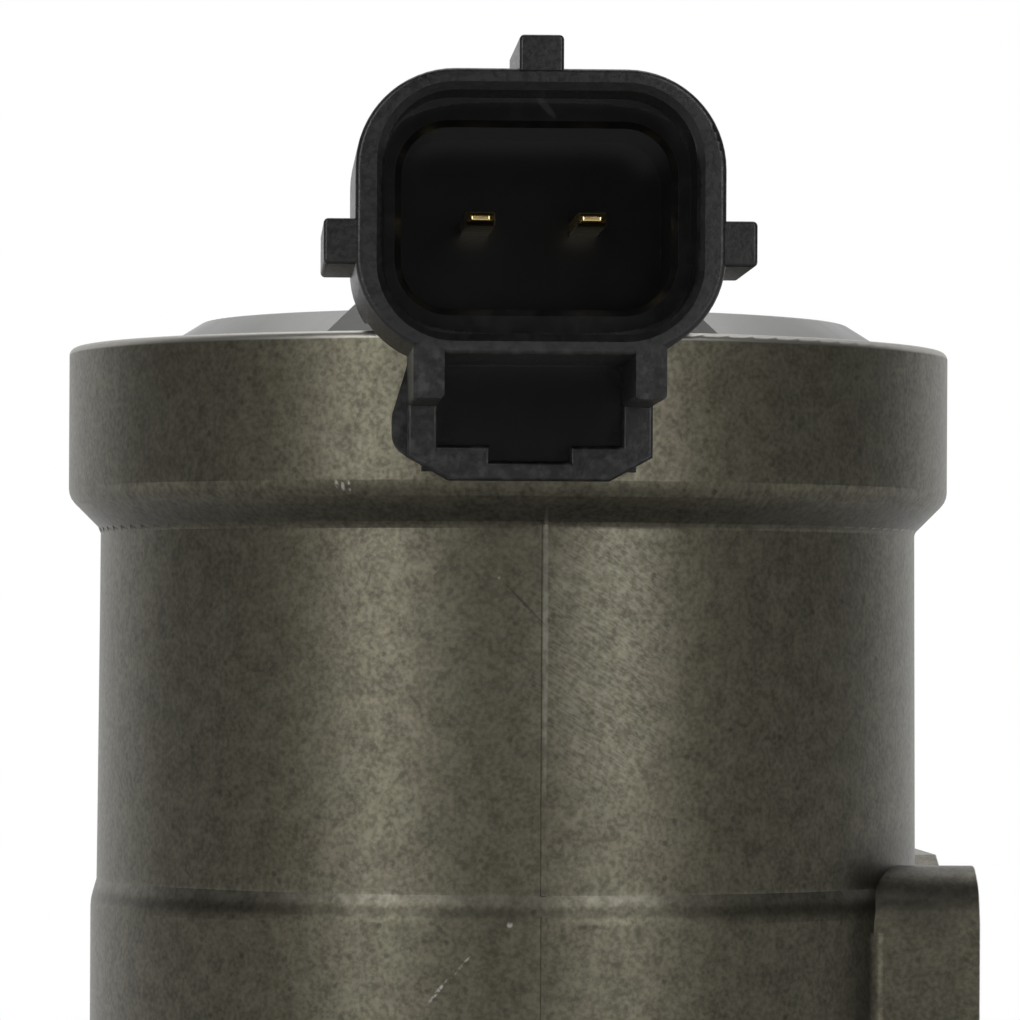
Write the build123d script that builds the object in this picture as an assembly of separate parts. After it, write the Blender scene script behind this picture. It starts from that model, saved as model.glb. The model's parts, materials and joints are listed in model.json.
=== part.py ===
from build123d import *
import os

# Idle air control valve. A coil in a die-cast barrel lifts a poppet that meters air between two ports.
# Millimetres. +Z runs up the valve axis, the connector faces -Y and the mounting face looks to +X.
# The pieces are drawn about the valve axis. At the end they move so that the origin is
# the middle of the bolt pattern on the mounting face.

# Fits
slip_gap = 0.05  # pieces that are pushed together by hand, on the radius or the face
running_gap = 0.04  # sliding pieces, on the radius
free_gap = 0.3  # a moving piece and what it must not touch

# Mounting flange on the side of the body
face_clearance = 0.65  # mounting face outside the rim
block_width = 26.0
block_height = 46.0
block_corner = 3.6
scallop_radius = 25.0  # shallow hollow in the top of the block
scallop_depth = 1.6
ear_thickness = 7.0
ear_radius = 7.5
ear_root = 25.0  # height where an ear leaves the block
ear_fillet = 4.0
ear_edge = 0.9
bolt_clearance = 5.0  # bolt axis outside the rim, so that a bolt head passes the barrel
bolt_hole = 6.6
spot_face_depth = 0.5
spot_face_margin = 1.2
block_fillet = 1.0  # where the port block grows out of the barrel

# Air ports in the mounting face, with one seal around both
port_width = 13.0
port_height = 9.0
port_pitch = 17.0
port_corner = 2.5
seal_land = 1.5
seal_width = 2.2
seal_depth = 1.8
seal_recess = 0.1

# Outside of the barrel, from the rim down
rim_above = 51.9  # rim plane over the flange middle
rim_wall = 2.4  # around the cover
rim_height = 8.45
rim_edge = 0.45
rim_lower_edge = 1.2
barrel_wall = 2.87  # around the coil bore, under the rim
barrel_draft = 0.14  # growth in radius from the throat to the step
throat_fillet = 0.5
step_under_block = 1.18  # soft step under the top of the block
step_height = 1.14
step_width = 0.34
step_edge = 3.0
skirt_length = 12.0  # straight part below the step
shoulder_height = 6.0
shoulder_fillet = 3.0
waist_wall = 4.2  # around the upper air chamber
foot_edge = 0.8
base_below = 25.0  # foot under the flange middle
parting_angle = 2.5  # mould parting ridge, turned from -Y towards +X
parting_width = 0.7  # degrees
parting_height = 0.1
parting_root = 1.0

# Bores in the body
coil_bore = 20.3
coil_floor = 15.5  # over the flange middle
upper_chamber = 13.0
lower_chamber = 12.0
seat_web = 4.0
seat_bore = 9.0
lip_height = 1.2
lip_overlap = 0.8

# Stamped cover held by the rim lip
cover_sheet = 1.2
cover_ledge = 2.3  # edge outside the coil bore
cover_rise = 1.5  # plateau over the rim plane
cover_shift = 0.9  # the dish is pressed off the valve axis, towards the mounting face
cover_shoulder_gap = 1.1  # mean gap between the foot of the sloping wall and the rim lip
cover_slope = 2.4  # run of the sloping wall
cover_lobe_gap = 0.6  # the plateau runs forward around the connector, to this far inside the lip
cover_lobe_side = 4.35  # beside the connector neck
cover_lobe_behind = 3.15  # behind the connector neck
cover_lobe_rise = 0.2
cover_lobe_taper = 45  # degrees
cover_round = 0.6
seal_ring_section = 1.4
seal_ring_room = 0.1

# Magnet stack, upwards from the floor of the coil bore
guide_plate_thick = 2.0
bottom_pole_thick = 2.5
washer_height = 1.0
washer_sheet = 0.5
washer_inner = 11.0
washer_outer = 17.0
top_pole_thick = 2.0
top_pole_drop = 3.9  # rim plane down to the top of the top pole plate
core_length = 8.7  # fixed core under the top pole plate
yoke_wall = 1.6
bobbin_wall = 1.0
bobbin_flange = 1.5
bobbin_margin = 0.4
winding_depth = 8.3
sleeve_wall = 0.4
stake_radius = 4.5
stake_chamfer = 0.4

# Plunger
travel = 4.0
armature_radius = 6.4
armature_lift = 0.7  # over the guide plate, valve shut
spring_pocket = 3.6
armature_pocket = 4.0
core_pocket = 5.0
shaft_radius = 2.0
shaft_spigot = 1.7
shaft_end = 20.5  # under the flange middle
poppet_radius = 9.2
poppet_disc = 2.0
poppet_hub = 4.5
poppet_hub_height = 1.6
nose_radius = 6.2
nose_tip_radius = 5.0
nose_length = 4.2
poppet_seal_thick = 0.8
poppet_seal_radius = 8.6
seat_gap = 0.1  # soft seal over the seat, valve shut
clip_thick = 0.6
clip_radius = 3.4
clip_groove = 0.3

# Seat, bushes and end plug
seat_hole = 6.5
seat_flange = 10.4
seat_flange_thick = 1.2
seat_chamfer = 0.4
bush_radius = 3.8
bush_boss = 5.5
bush_drop = 3.0  # boss under the guide plate
lower_bush_radius = 3.0
lower_bush_length = 6.5
plug_length = 6.5
plug_recess = 1.0
plug_slot_width = 2.2
plug_slot_depth = 1.8
plug_well = 1.5  # free depth under the shaft
plug_groove_width = 1.9
plug_ring_section = 1.5
plug_chamfer = 0.6

# Springs
return_wire = 0.6
return_radius = 2.8
return_turns = 5
balance_wire = 0.6
balance_radius = 4.4
balance_turns = 5

# Connector moulding, heights measured from the rim plane
shell_width = 18.94
shell_height = 14.6
shell_corner = 5.1
shell_middle = 5.35
shell_overhang = 13.0  # mouth in front of the rim
shell_lap = 2.5  # back of the shell inside the rim
shell_front_of_rim = 0.6
shell_over_rim = 0.4
side_wall = 1.5
roof_wall = 1.09
mouth_depth = 5.0
mouth_lead = 0.4
deep_width = 14.0
deep_height = 9.4
deep_corner = 2.5
deep_lead = 0.35
socket_depth = 13.4
shell_edge = 0.3
top_key_width = 2.28
top_key_height = 1.73
side_key_height = 2.33
side_key_width = 1.6
side_key_drop = 1.56  # below the middle of the shell
key_length = 12.0
key_edge = 0.25
key_setback = 0.1
moulded_edge = 0.2  # front edges of the keys and the loop
rail_inner = 4.88
rail_outer = 6.47
rail_depth = 2.23
loop_depth = 6.1  # loop bottom below the shell
loop_floor = 1.81
loop_length = 1.8
loop_wall_room = 0.15  # between the rim and the wall that closes the loop's back
loop_wall_lap = 0.3  # wall in front of the loop's back
loop_chamfer_width = 2.21
loop_chamfer_height = 1.23
loop_notch_width = 4.25
loop_notch_depth = 0.82
lug_reach = 0.8  # rounded lug on the left leg of the loop
lug_length = 0.7
lug_low = 0.6
lug_high = 2.2
lug_round = 1.2
neck_width = 12.9
neck_depth = 7.35
neck_margin = 3.4  # behind the front of the cover's lobe
neck_top = 10.4
neck_bottom = 1.8
neck_round = 5.0
neck_corner = 1.5
carrier_room = 0.15  # under the cover
carrier_side_room = 0.4
window_gap = 0.15
leg_width = 3.0
leg_depth = 2.2

# Terminals
terminal_pitch = 5.77
blade_width = 1.55
blade_thick = 0.72
blade_inset = 5.0  # blade tip inside the mouth
blade_tip = 0.45
blade_tip_slope = 0.2
tail_inset = 2.85  # in front of the neck's back
tail_seat = 1.0  # depth in the bobbin flange

# Radii that fits decide
cover_radius = coil_bore + cover_ledge
rim_radius = cover_radius + rim_wall
barrel_radius = coil_bore + barrel_wall
skirt_radius = barrel_radius + barrel_draft + step_width
waist_radius = upper_chamber + waist_wall
lip_radius = cover_radius - lip_overlap
seal_ring_radius = lip_radius - seal_ring_section / 2 - seal_ring_room
cover_shoulder = lip_radius - cover_shoulder_gap
cover_plateau = cover_shoulder - cover_slope
cover_lobe_radius = lip_radius - cover_lobe_gap
carrier_radius = cover_plateau - cover_shift - cover_sheet - carrier_side_room
yoke_radius = coil_bore - slip_gap
yoke_bore = yoke_radius - yoke_wall
sleeve_bore = armature_radius + running_gap
sleeve_radius = sleeve_bore + sleeve_wall
bobbin_bore = sleeve_radius + slip_gap
bobbin_radius = bobbin_bore + bobbin_wall
bobbin_flange_radius = yoke_bore - bobbin_margin
plug_radius = lower_chamber - slip_gap

# Distances from the axis
face_offset = rim_radius + face_clearance
bolt_y = rim_radius + bolt_clearance  # one bolt is high and behind, the other low and in front
shell_reach = rim_radius + shell_overhang
shell_back = rim_radius - shell_lap
loop_back = rim_radius + shell_front_of_rim
blade_reach = shell_reach - blade_inset
neck_front = cover_lobe_radius - neck_margin
neck_back = neck_front - neck_depth
tail_y = neck_back + tail_inset
cover_lobe_back = neck_back - cover_lobe_behind
cover_lobe_half = neck_width / 2 + cover_lobe_side

# Levels along the axis
rim_top = rim_above
rim_bottom = rim_top - rim_height
throat_z = rim_bottom - (rim_radius - barrel_radius)
block_top = block_height / 2
step_top = block_top - step_under_block
step_bottom = step_top - step_height
skirt_bottom = step_bottom - skirt_length
waist_z = skirt_bottom - shoulder_height
base_z = -base_below
bolt_z = block_top - ear_radius  # the ears are flush with the block's top and bottom
cover_top = rim_top - lip_height
cover_seat = cover_top - cover_sheet
guide_top = coil_floor + guide_plate_thick
bottom_pole_top = guide_top + bottom_pole_thick
top_pole_top = rim_top - top_pole_drop
top_pole_bottom = top_pole_top - top_pole_thick
bobbin_bottom = bottom_pole_top + washer_height
web_top = seat_web / 2
seat_top = web_top + seat_flange_thick
poppet_seal_bottom = seat_top + seat_gap
poppet_bottom = poppet_seal_bottom + poppet_seal_thick
poppet_top = poppet_bottom + poppet_disc
hub_top = poppet_top + poppet_hub_height
nose_bottom = poppet_bottom - nose_length
core_bottom = top_pole_bottom - core_length
armature_top = core_bottom - travel - free_gap
armature_bottom = guide_top + armature_lift
armature_floor = armature_top - armature_pocket
core_ceiling = core_bottom + core_pocket
plug_bottom = base_z + plug_recess
plug_top = plug_bottom + plug_length
well_bottom = -shaft_end - plug_well
shell_z = rim_top + shell_middle
shell_low = shell_z - shell_height / 2
carrier_top = rim_top + cover_rise - cover_sheet - carrier_room


def section(*corners):
    """A face in the XZ plane from (radius, height) corners. A third number rounds that corner."""
    face = make_face(Polyline(*[corner[:2] for corner in corners], close=True))
    for corner in corners:
        if len(corner) == 3:
            vertex = face.vertices().sort_by_distance((corner[0], corner[1], 0))[0]
            face = fillet(vertex, corner[2])
    return Plane.XZ * face


def turned(*corners):
    """A solid of revolution about the valve axis."""
    return revolve(section(*corners), Axis.Z)


def ring(inner, outer, low, high):
    """A plain tube about the valve axis."""
    return turned((inner, low), (outer, low), (outer, high), (inner, high))


def facing_front(y, z):
    """A plane that looks towards the connector side, with its up along +Z."""
    return Plane(origin=(0, y, z), x_dir=(1, 0, 0), z_dir=(0, -1, 0))


def facing_mount(x):
    """A plane parallel to the mounting face, with Y to its right and Z up."""
    return Plane(origin=(x, 0, 0), x_dir=(0, 1, 0), z_dir=(1, 0, 0))


def rounded_bar(width, height, corner, front, back, z):
    """A bar along Y with a rounded section, from front to back distance ahead of the axis."""
    return extrude(facing_front(-back, z) * RectangleRounded(width, height, corner), front - back)


def block(x0, x1, y0, y1, z0, z1):
    """A box between two corners."""
    return Pos((x0 + x1) / 2, (y0 + y1) / 2, (z0 + z1) / 2) * Box(x1 - x0, y1 - y0, z1 - z0)


def o_ring(radius, diameter, z):
    """A round seal ring."""
    return Pos(0, 0, z) * Torus(radius, diameter / 2)


def coil_spring(radius, wire, low, high, turns):
    """A round-wire compression spring between two seats."""
    height = high - low - wire
    path = Pos(0, 0, low + wire / 2) * Helix(height / turns, height, radius)
    start = Plane(origin=path @ 0, z_dir=path % 0)
    return sweep(start * Circle(wire / 2), path, is_frenet=True)


def barrel():
    """The outside of the cast barrel, from the foot to the rim."""
    return turned(
        (0, base_z),
        (waist_radius, base_z, foot_edge),
        (waist_radius, waist_z, shoulder_fillet),
        (skirt_radius, skirt_bottom, shoulder_fillet),
        (skirt_radius, step_bottom, step_edge),
        (barrel_radius + barrel_draft, step_top),
        (barrel_radius, throat_z, throat_fillet),
        (rim_radius, rim_bottom, rim_lower_edge),
        (rim_radius, rim_top, rim_edge),
        (0, rim_top),
    )


def parting_ridge(low_radius, low, high_radius, high):
    """A fine ridge up the barrel where the mould halves met."""
    sliver = section(
        (low_radius - parting_root, low),
        (low_radius + parting_height, low),
        (high_radius + parting_height, high),
        (high_radius - parting_root, high),
    )
    turn = Rot(0, 0, parting_angle - 90 - parting_width / 2)
    return turn * revolve(sliver, Axis.Z, revolution_arc=parting_width)


def block_root(radius, low, high):
    """The port block's straight walls with a rounded corner where they meet a round wall."""
    plan = Circle(radius) + Pos(face_offset / 2, 0) * Rectangle(face_offset, block_width)
    half = block_width / 2
    for side in (1, -1):
        corner = ((radius**2 - half**2) ** 0.5, side * half, 0)
        plan = fillet(plan.vertices().sort_by_distance(corner)[0], block_fillet)
    return extrude(Plane.XY.offset(low) * plan, high - low)


def ear_outline(side):
    """One bolt ear of the flange plate, wider at its root. Side is 1 behind and -1 in front."""
    tip = Pos(side * bolt_y, side * bolt_z) * Circle(ear_radius)
    root_middle = (block_height - ear_root) / 2
    root = Pos(side * block_width / 4, side * root_middle) * Rectangle(block_width / 2, ear_root)
    return make_hull(tip.edges() + root.edges())


def scallop():
    """The shallow hollow in the top of the block, between its front corner and the ear behind."""
    return Pos(0, block_top - scallop_depth + scallop_radius) * Circle(scallop_radius)


def flange_outline():
    """The port block and both ears, with rounded inner corners."""
    outline = RectangleRounded(block_width, block_height, block_corner) + ear_outline(1) + ear_outline(-1)
    for side in (1, -1):
        corner = (side * block_width / 2, side * (block_top - ear_root), 0)
        outline = fillet(outline.vertices().sort_by_distance(corner)[0], ear_fillet)
    return outline - scallop()


def flange_plate():
    """The plate behind the mounting face, with cast rounded edges at its back and a machined face."""
    plate = extrude(facing_mount(face_offset - ear_thickness) * flange_outline(), ear_thickness)
    return fillet(plate.faces().sort_by(Axis.X)[0].edges(), ear_edge)


def port_outline(margin=0.0):
    """Both port openings, grown by a margin."""
    width = port_width + 2 * margin
    height = port_height + 2 * margin
    opening = RectangleRounded(width, height, port_corner + margin)
    return Pos(0, port_pitch / 2) * opening + Pos(0, -port_pitch / 2) * opening


def seal_outline(shrink=0.0):
    """The seal groove: one loop around both ports with a bar between them."""
    margin = seal_land + seal_width - shrink
    width = port_width + 2 * margin
    height = port_pitch + port_height + 2 * margin
    loop = RectangleRounded(width, height, port_corner + margin)
    return loop - port_outline(seal_land + shrink)


def valve_body():
    """The die casting: barrel, rim, port block, ears and all bores."""
    port_block = RectangleRounded(block_width, block_height, block_corner) - scallop()
    body = barrel() + extrude(facing_mount(0) * port_block, face_offset)
    straight_top = block_top - block_corner
    body = body + block_root(skirt_radius, skirt_bottom + shoulder_fillet / 2, straight_top)
    body = body + block_root(waist_radius, -straight_top, waist_z - shoulder_fillet / 2)
    body = body + flange_plate()
    body = body + parting_ridge(barrel_radius + barrel_draft, step_top, barrel_radius, throat_z)
    body = body + parting_ridge(skirt_radius, skirt_bottom, skirt_radius, step_bottom)
    body = body - turned(
        (0, base_z),
        (lower_chamber, base_z),
        (lower_chamber, -web_top),
        (seat_bore, -web_top),
        (seat_bore, web_top),
        (upper_chamber, web_top),
        (upper_chamber, coil_floor),
        (coil_bore, coil_floor),
        (coil_bore, cover_seat - seal_ring_section - seal_ring_room),
        (lip_radius, cover_seat - seal_ring_section - seal_ring_room),
        (lip_radius, cover_seat),
        (cover_radius + slip_gap, cover_seat),
        (cover_radius + slip_gap, cover_top),
        (lip_radius, cover_top),
        (lip_radius, rim_top),
        (0, rim_top),
    )
    body = body - extrude(facing_mount(lower_chamber / 2) * port_outline(), face_offset)
    body = body - extrude(facing_mount(face_offset - seal_depth) * seal_outline(), seal_depth)
    ear_back = facing_mount(face_offset - ear_thickness)
    for side in (1, -1):
        place = ear_back * Pos(side * bolt_y, side * bolt_z)
        body = body - extrude(place * Circle(bolt_hole / 2), ear_thickness)
        body = body - extrude(place * Circle(ear_radius - spot_face_margin), spot_face_depth)
    return body


def flange_seal():
    """The moulded seal in the groove of the mounting face."""
    height = seal_depth - seal_recess
    return extrude(facing_mount(face_offset - seal_depth) * seal_outline(slip_gap), height)


def cover_form(sheet):
    """The outside of the cover, or its inside when the sheet thickness is taken off."""
    top = rim_top + cover_rise - sheet
    dish = turned(
        (0, cover_seat - sheet),
        (cover_shoulder - sheet, cover_seat - sheet),
        (cover_shoulder - sheet, rim_top - sheet, cover_round),
        (cover_plateau - sheet, top, cover_round),
        (0, top),
    )
    half = cover_lobe_half - sheet
    depth = cover_lobe_radius - cover_lobe_back
    panel = Pos(0, -cover_lobe_back + sheet - depth / 2) * Rectangle(2 * half, depth)
    outline = Circle(cover_lobe_radius - sheet) & panel
    foot = rim_top - sheet
    lobe = extrude(Plane.XY.offset(cover_seat - sheet) * outline, foot - cover_seat + sheet)
    rise = top + cover_lobe_rise - foot
    lobe = lobe + extrude(Plane.XY.offset(foot) * outline, rise, taper=cover_lobe_taper)
    return Pos(cover_shift, 0, 0) * dish + lobe


def neck_outline(gap=0.0):
    """Where the connector neck rises through the cover."""
    middle = -(neck_front + neck_back) / 2
    shape = RectangleRounded(neck_width + 2 * gap, neck_front - neck_back + 2 * gap, neck_corner + gap)
    return Pos(0, middle) * shape


def top_cover():
    """The stamped cover: a flange under the rim lip, a low dish and a window for the connector."""
    flange = ring(cover_plateau, cover_radius, cover_seat, cover_top)
    cover = cover_form(0) + flange - cover_form(cover_sheet)
    height = rim_top + cover_rise + cover_lobe_rise - cover_seat
    window = extrude(Plane.XY.offset(cover_seat) * neck_outline(window_gap), height)
    return cover - window


def cover_seal():
    """The seal ring under the cover flange."""
    return o_ring(seal_ring_radius, seal_ring_section, cover_seat - seal_ring_section / 2)


def terminal(side):
    """A bent blade: forward into the socket and down to the coil."""
    x = side * terminal_pitch / 2
    half_width = blade_width / 2
    half_thick = blade_thick / 2
    z = shell_z
    tip = -blade_reach
    outline = make_face(
        Polyline(
            (tip, z - half_thick + blade_tip_slope),
            (tip + blade_tip, z - half_thick),
            (-tail_y - half_thick, z - half_thick),
            (-tail_y - half_thick, top_pole_bottom - tail_seat),
            (-tail_y + half_thick, top_pole_bottom - tail_seat),
            (-tail_y + half_thick, z + half_thick),
            (tip + blade_tip, z + half_thick),
            (tip, z + half_thick - blade_tip_slope),
            close=True,
        )
    )
    side_plane = Plane(origin=(x - half_width, 0, 0), x_dir=(0, 1, 0), z_dir=(1, 0, 0))
    return extrude(side_plane * outline, blade_width)


def lead_in(width, height, corner, reach, size):
    """The slope around a rounded opening that looks forward."""
    narrow = facing_front(-reach + size, shell_z) * RectangleRounded(width, height, corner)
    grown = RectangleRounded(width + 2 * size, height + 2 * size, corner + size)
    return loft([narrow, facing_front(-reach, shell_z) * grown])


def socket_cavity():
    """The stepped hollow that the plug goes into, with a lead-in at each step."""
    width = shell_width - 2 * side_wall
    height = shell_height - 2 * roof_wall
    corner = shell_corner - side_wall
    mouth = rounded_bar(width, height, corner, shell_reach, shell_reach - mouth_depth, shell_z)
    deep = rounded_bar(deep_width, deep_height, deep_corner, shell_reach, shell_reach - socket_depth, shell_z)
    mouth_lead_in = lead_in(width, height, corner, shell_reach, mouth_lead)
    deep_lead_in = lead_in(deep_width, deep_height, deep_corner, shell_reach - mouth_depth, deep_lead)
    return mouth + deep + mouth_lead_in + deep_lead_in


def soft_front(piece):
    """A moulded piece with its front edges rounded."""
    return fillet(piece.faces().sort_by(Axis.Y)[0].edges(), moulded_edge)


def plug_keys():
    """Three ribs outside the shell that guide the plug."""
    front = shell_reach - key_setback
    back = shell_reach - key_length
    top_height = top_key_height + roof_wall / 2
    top_z = shell_z + shell_height / 2 + top_key_height - top_height / 2
    top_key = rounded_bar(top_key_width, top_height, key_edge, front, back, top_z)
    keys = [soft_front(top_key)]
    width = side_key_width + side_wall / 2
    x = shell_width / 2 + side_key_width - width / 2
    for side in (1, -1):
        key = rounded_bar(width, side_key_height, key_edge, front, back, shell_z - side_key_drop)
        keys.append(Pos(side * x, 0, 0) * soft_front(key))
    return keys


def lock_loop():
    """Two rails under the shell and the loop that the plug's catch snaps into."""
    root = shell_low + roof_wall / 2
    bottom = shell_low - loop_depth
    floor = bottom + loop_floor
    outline = make_face(
        Polyline(
            (-rail_outer, root),
            (-rail_outer, bottom + loop_chamfer_height),
            (-rail_outer + loop_chamfer_width, bottom),
            (rail_outer - loop_chamfer_width, bottom),
            (rail_outer, bottom + loop_chamfer_height),
            (rail_outer, root),
            (rail_inner, root),
            (rail_inner, floor),
            (loop_notch_width / 2, floor),
            (loop_notch_width / 2, floor - loop_notch_depth),
            (-loop_notch_width / 2, floor - loop_notch_depth),
            (-loop_notch_width / 2, floor),
            (-rail_inner, floor),
            (-rail_inner, root),
            close=True,
        )
    )
    loop = extrude(facing_front(-loop_back, 0) * outline, loop_length)
    wall_low = bottom + (loop_floor - loop_notch_depth) / 2
    wall_half = (rail_inner + rail_outer) / 2
    wall_back = rim_radius + loop_wall_room
    wall = block(-wall_half, wall_half, -loop_back - loop_wall_lap, -wall_back, wall_low, shell_low)
    pieces = [soft_front(loop), wall, loop_lug(bottom + loop_chamfer_height)]
    rail_height = root - shell_low + rail_depth
    for side in (1, -1):
        rail = rounded_bar(
            rail_outer - rail_inner, rail_height, key_edge, shell_reach, loop_back, root - rail_height / 2
        )
        pieces.append(Pos(side * (rail_inner + rail_outer) / 2, 0, 0) * rail)
    return pieces


def loop_lug(low):
    """The rounded lug at the back of the loop's left leg."""
    outer = -rail_outer - lug_reach
    outline = make_face(
        Polyline(
            (-rail_inner, low),
            (-rail_outer, low),
            (outer, low + lug_low),
            (outer, low + lug_high),
            (-rail_outer, shell_low),
            (-rail_inner, shell_low),
            close=True,
        )
    )
    for level in (low + lug_low, low + lug_high):
        outline = fillet(outline.vertices().sort_by_distance((outer, level, 0))[0], lug_round)
    return extrude(facing_front(-loop_back, 0) * outline, lug_length)


def connector_neck():
    """The carrier under the cover, its legs, the stalk through the cover and the arm over the rim."""
    front = -shell_back - side_wall
    low = rim_top + neck_bottom
    high = rim_top + neck_top
    corners = [(front, low), (-neck_back, low), (-neck_back, high), (front, high)]
    side_view = make_face(FilletPolyline(*corners, radius=[0, 0, neck_round, 0], close=True))
    side_plane = Plane(origin=(-neck_width / 2, 0, 0), x_dir=(0, 1, 0), z_dir=(1, 0, 0))
    middle = (neck_front - front) / 2
    reach = -front - neck_front + 2 * neck_corner
    plan = neck_outline() + Pos(0, neck_corner - middle) * Rectangle(neck_width, reach)
    arm = extrude(side_plane * side_view, neck_width) & extrude(Plane.XY.offset(low) * plan, high - low)
    stalk = extrude(Plane.XY.offset(top_pole_top) * neck_outline(), low - top_pole_top)
    neck = ring(0, carrier_radius, top_pole_top, carrier_top) + stalk + arm
    for side in (1, -1):
        leg = Pos(side * terminal_pitch / 2, -tail_y) * Rectangle(leg_width, leg_depth)
        neck = neck + extrude(Plane.XY.offset(top_pole_bottom) * leg, top_pole_thick)
    return neck


def connector():
    """The black moulding: terminal carrier, neck, plug shell, keys and lock loop."""
    shell = rounded_bar(shell_width, shell_height, shell_corner, shell_reach, shell_back, shell_z)
    shell = fillet(shell.faces().sort_by(Axis.Y)[0].edges(), shell_edge)
    under_top = rim_top + shell_over_rim
    shell = shell - block(-shell_width, shell_width, -loop_back, 0, shell_low - shell_height, under_top)
    moulding = shell + connector_neck()
    for piece in plug_keys() + lock_loop():
        moulding = moulding + piece
    moulding = moulding - socket_cavity()
    for side in (1, -1):
        moulding = moulding - terminal(side)
    return moulding


def coil_bobbin():
    """The winding former, with a pocket for each terminal tail in its top flange."""
    tube = ring(bobbin_bore, bobbin_radius, bobbin_bottom, top_pole_bottom)
    low = ring(bobbin_bore, bobbin_flange_radius, bobbin_bottom, bobbin_bottom + bobbin_flange)
    high = ring(bobbin_bore, bobbin_flange_radius, top_pole_bottom - bobbin_flange, top_pole_bottom)
    bobbin = tube + low + high
    for side in (1, -1):
        bobbin = bobbin - terminal(side)
    return bobbin


def coil_winding():
    """The copper winding between the bobbin flanges."""
    low = bobbin_bottom + bobbin_flange
    return ring(bobbin_radius, bobbin_radius + winding_depth, low, top_pole_bottom - bobbin_flange)


def top_pole_plate():
    """The steel plate over the coil, slotted for the insulated terminals."""
    plate = ring(stake_radius, yoke_radius, top_pole_bottom, top_pole_top)
    for side in (1, -1):
        x = side * terminal_pitch / 2
        slot = Pos(x, -tail_y) * Rectangle(leg_width + 2 * slip_gap, leg_depth + 2 * slip_gap)
        plate = plate - extrude(Plane.XY.offset(top_pole_bottom) * slot, top_pole_thick)
    return plate


def spring_washer():
    """A conical washer that takes up the play under the bobbin."""
    low = bottom_pole_top
    high = bobbin_bottom
    return turned(
        (washer_inner, high - washer_sheet),
        (washer_outer, low),
        (washer_outer, low + washer_sheet),
        (washer_inner, high),
    )


def guide_plate():
    """The plate that closes the air chamber and holds the shaft bush."""
    return turned(
        (bush_radius, coil_floor - bush_drop),
        (bush_boss, coil_floor - bush_drop),
        (bush_boss, coil_floor),
        (coil_bore - slip_gap, coil_floor),
        (coil_bore - slip_gap, guide_top),
        (bush_radius, guide_top),
    )


def fixed_core():
    """The pole piece, staked into the top plate, with a pocket for the return spring."""
    return turned(
        (spring_pocket, core_bottom),
        (armature_radius, core_bottom),
        (armature_radius, top_pole_bottom),
        (stake_radius, top_pole_bottom),
        (stake_radius, top_pole_top - stake_chamfer),
        (stake_radius - stake_chamfer, top_pole_top),
        (0, top_pole_top),
        (0, core_ceiling),
        (spring_pocket, core_ceiling),
    )


def seat_ring():
    """The brass seat that the poppet closes on."""
    return turned(
        (seat_hole, -web_top),
        (seat_bore, -web_top),
        (seat_bore, web_top),
        (seat_flange, web_top),
        (seat_flange, seat_top),
        (seat_hole + seat_chamfer, seat_top),
        (seat_hole, seat_top - seat_chamfer),
    )


def end_plug():
    """The slotted plug in the foot of the body, with a seal groove and a well for the shaft."""
    groove_low = (plug_bottom + plug_top - plug_groove_width) / 2
    groove_radius = plug_radius - plug_ring_section - slip_gap
    plug = turned(
        (0, plug_bottom),
        (plug_radius - plug_chamfer, plug_bottom),
        (plug_radius, plug_bottom + plug_chamfer),
        (plug_radius, groove_low),
        (groove_radius, groove_low),
        (groove_radius, groove_low + plug_groove_width),
        (plug_radius, groove_low + plug_groove_width),
        (plug_radius, plug_top),
        (lower_bush_radius, plug_top),
        (lower_bush_radius, well_bottom),
        (0, well_bottom),
    )
    half_slot = plug_slot_width / 2
    slot = block(-half_slot, half_slot, -plug_radius, plug_radius, plug_bottom, plug_bottom + plug_slot_depth)
    return plug - slot


def plug_seal():
    """The seal ring of the end plug."""
    z = (plug_bottom + plug_top) / 2
    return o_ring(plug_radius - plug_ring_section / 2, plug_ring_section, z)


def lower_bush():
    """The bush that guides the foot of the shaft and centres the balance spring."""
    return ring(shaft_spigot + running_gap, lower_bush_radius, well_bottom, well_bottom + lower_bush_length)


def armature():
    """The steel plunger, with a pocket for the return spring."""
    return turned(
        (shaft_radius, armature_bottom),
        (armature_radius, armature_bottom),
        (armature_radius, armature_top),
        (spring_pocket, armature_top),
        (spring_pocket, armature_floor),
        (shaft_radius, armature_floor),
    )


def valve_shaft():
    """The stepped shaft from the armature to the lower bush."""
    groove_radius = shaft_spigot - clip_groove
    return turned(
        (0, -shaft_end),
        (shaft_spigot, -shaft_end),
        (shaft_spigot, nose_bottom - clip_thick),
        (groove_radius, nose_bottom - clip_thick),
        (groove_radius, nose_bottom),
        (shaft_spigot, nose_bottom),
        (shaft_spigot, hub_top),
        (shaft_radius, hub_top),
        (shaft_radius, armature_floor),
        (0, armature_floor),
    )


def poppet():
    """The valve head: a disc, a hub against the shaft shoulder and a tapered metering nose."""
    return turned(
        (shaft_spigot, nose_bottom),
        (nose_tip_radius, nose_bottom),
        (nose_radius, poppet_bottom),
        (poppet_radius, poppet_bottom),
        (poppet_radius, poppet_top),
        (poppet_hub, poppet_top),
        (poppet_hub, hub_top),
        (shaft_spigot, hub_top),
    )


def poppet_seal():
    """The soft face under the disc."""
    return ring(nose_radius, poppet_seal_radius, poppet_seal_bottom, poppet_bottom)


def shaft_clip():
    """The clip that holds the poppet up against the shoulder."""
    groove_radius = shaft_spigot - clip_groove
    clip = ring(groove_radius, clip_radius, nose_bottom - clip_thick, nose_bottom)
    mouth = block(0, clip_radius, -groove_radius, groove_radius, nose_bottom - clip_thick, nose_bottom)
    return clip - mouth


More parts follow.
